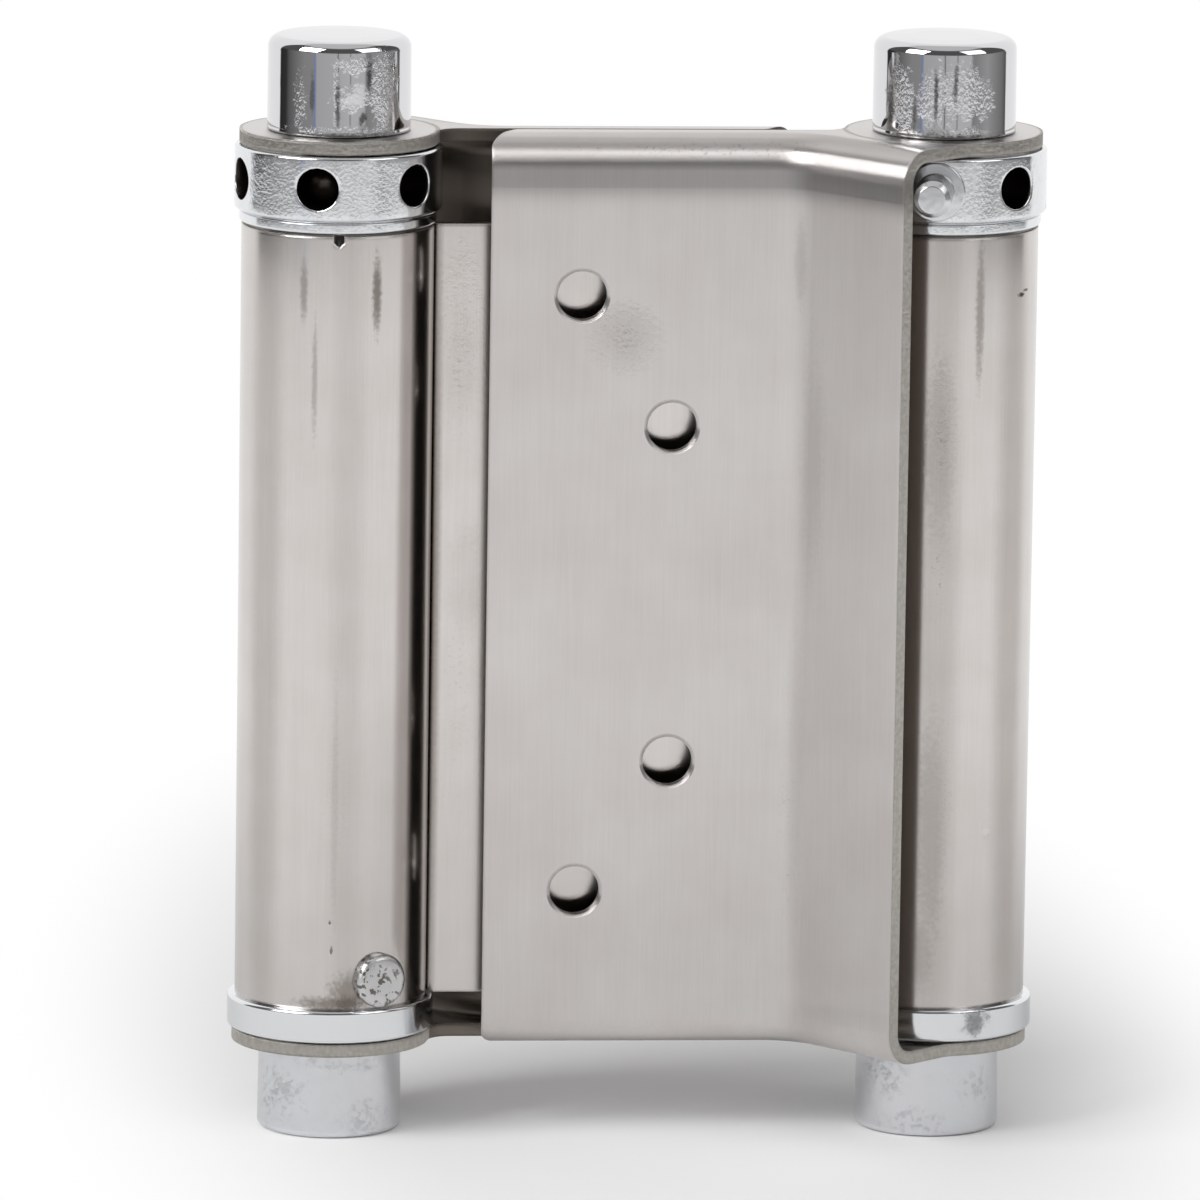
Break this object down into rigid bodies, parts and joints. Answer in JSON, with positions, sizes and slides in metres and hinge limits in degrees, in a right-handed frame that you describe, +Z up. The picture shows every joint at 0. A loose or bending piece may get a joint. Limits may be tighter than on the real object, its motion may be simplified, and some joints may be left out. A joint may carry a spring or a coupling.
{
  "type": "double action cafe hinge",
  "caption": "Double action spring hinge for a swing door: a centre sheet rolled into barrels at both edges, with a folded leaf turning on each barrel, tension collars and round caps.",
  "frame": {"origin": "on the surface under the bottom caps, midway between the two barrel axes", "axes": "+X from the left barrel to the right barrel, +Y away from the front leaf, +Z up along the barrels"},
  "size_m": [0.0878, 0.0344, 0.12],
  "materials": {
    "leaf_sheet": "brushed stainless sheet, grain upright",
    "rolled_sheet": "brushed stainless sheet, smudged",
    "plated_collar": "bright plated, turned",
    "plated_pin": "bright zinc plated",
    "bright_cap": "polished chrome with pitted patches",
    "matte_cap": "dull plated casting with blemishes",
    "plain_steel": "plain turned steel",
    "spring_steel": "oiled spring steel"
  },
  "bodies": {
    "centre": {"centre_web": "rolled_sheet", "right_spring_plug": "plated_collar", "right_plug_rivet": "plated_pin", "right_torsion_spring": "spring_steel", "left_spring_plug": "plated_collar", "left_plug_rivet": "plated_pin", "left_torsion_spring": "spring_steel"},
    "front_leaf": {"front_leaf": "leaf_sheet", "right_top_spindle": "plain_steel", "right_bottom_spindle": "plain_steel", "right_top_cap": "bright_cap", "right_bottom_cap": "matte_cap"},
    "rear_leaf": {"rear_leaf": "leaf_sheet", "left_top_spindle": "plain_steel", "left_bottom_spindle": "plain_steel", "left_top_cap": "bright_cap", "left_bottom_cap": "matte_cap"},
    "right_collar": {"right_tension_collar": "plated_collar"},
    "left_collar": {"left_tension_collar": "plated_collar"},
    "right_pin": {"right_stop_pin": "plated_pin"},
    "left_pin": {"left_stop_pin": "plated_pin"}
  },
  "joints": [
    {"name": "front_leaf_swing", "type": "hinge", "parent": "centre", "child": "front_leaf", "pos_m": [0.0327, 0, 0], "axis": [0, 0, 1], "range_deg": [0, 180], "stiffness_Nm_per_rad": 0.3, "springref_deg": -34.38, "deforming": ["right_torsion_spring"]},
    {"name": "rear_leaf_swing", "type": "hinge", "parent": "centre", "child": "rear_leaf", "pos_m": [-0.0327, 0, 0], "axis": [0, 0, 1], "range_deg": [0, 180], "stiffness_Nm_per_rad": 0.3, "springref_deg": -34.38, "deforming": ["left_torsion_spring"]},
    {"name": "right_collar_winding", "type": "hinge", "parent": "front_leaf", "child": "right_collar", "pos_m": [0.0327, 0, 0], "axis": [0, 0, 1], "range_deg": [0, 180], "stiffness_Nm_per_rad": 0.3, "springref_deg": -34.38, "deforming": ["right_torsion_spring"]},
    {"name": "left_collar_winding", "type": "hinge", "parent": "rear_leaf", "child": "left_collar", "pos_m": [-0.0327, 0, 0], "axis": [0, 0, 1], "range_deg": [0, 180], "stiffness_Nm_per_rad": 0.3, "springref_deg": -34.38, "deforming": ["left_torsion_spring"]},
    {"name": "right_pin_pull", "type": "slide", "parent": "right_collar", "child": "right_pin", "axis": [-0.169, -0.9856, 0], "range_m": [0, 0.0038]},
    {"name": "left_pin_pull", "type": "slide", "parent": "left_collar", "child": "left_pin", "axis": [0.169, 0.9856, 0], "range_m": [0, 0.0038]}
  ]
}
